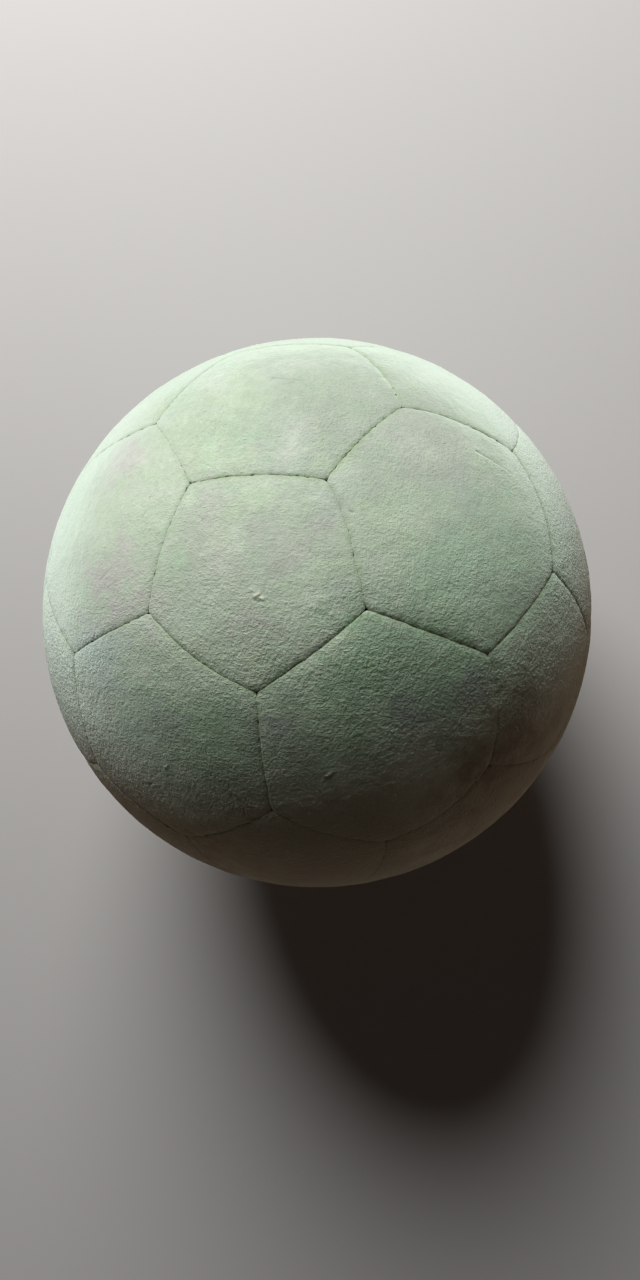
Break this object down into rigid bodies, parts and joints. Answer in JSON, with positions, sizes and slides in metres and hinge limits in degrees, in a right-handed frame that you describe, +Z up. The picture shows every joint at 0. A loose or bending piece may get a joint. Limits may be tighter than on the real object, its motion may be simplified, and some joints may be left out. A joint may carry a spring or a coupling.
{
  "type": "stitched felt ball",
  "caption": "Inflated round ball with a stitched cover of felt pentagon and hexagon panels over a rubber bladder with a needle valve.",
  "frame": {"origin": "centre of the small flat under the ball, in the middle of its bottom pentagon panel", "axes": "+Z up through the middle of the top pentagon panel, +Y towards the side with the valve, -Y towards the viewer, +X to the viewer's right"},
  "size_m": [0.218, 0.218, 0.2175],
  "materials": {
    "felt": "dusty sage green felt with a short, matted nap",
    "thread": "waxed twisted polyester",
    "bladder_rubber": "smooth, dusted with talc",
    "valve_rubber": "satin moulded rubber",
    "core_rubber": "soft translucent rubber",
    "patch_fabric": "plain woven cotton"
  },
  "bodies": {
    "root": {"pentagon_panel_top": "felt", "pentagon_panel_upper_1": "felt", "pentagon_panel_upper_2": "felt", "pentagon_panel_upper_3": "felt", "pentagon_panel_upper_4": "felt", "pentagon_panel_upper_5": "felt", "pentagon_panel_lower_1": "felt", "pentagon_panel_lower_2": "felt", "pentagon_panel_lower_3": "felt", "pentagon_panel_lower_4": "felt", "pentagon_panel_lower_5": "felt", "pentagon_panel_bottom": "felt", "hexagon_panel_top_1": "felt", "hexagon_panel_top_2": "felt", "hexagon_panel_top_3": "felt", "hexagon_panel_top_4": "felt", "hexagon_panel_top_5": "felt", "hexagon_panel_upper_1": "felt", "hexagon_panel_upper_2": "felt", "hexagon_panel_upper_3": "felt", "hexagon_panel_upper_4": "felt", "hexagon_panel_upper_5": "felt", "hexagon_panel_lower_1": "felt", "hexagon_panel_lower_2": "felt", "hexagon_panel_lower_3": "felt", "hexagon_panel_lower_4": "felt", "hexagon_panel_lower_5": "felt", "hexagon_panel_bottom_1": "felt", "hexagon_panel_bottom_2": "felt", "hexagon_panel_bottom_3": "felt", "hexagon_panel_bottom_4": "felt", "hexagon_panel_bottom_5": "felt", "seam_thread_upper_half": "thread", "seam_thread_lower_half": "thread", "closing_thread": "thread", "bladder": "bladder_rubber", "valve_body": "valve_rubber", "valve_core": "core_rubber", "valve_patch": "patch_fabric"}
  },
  "joints": []
}
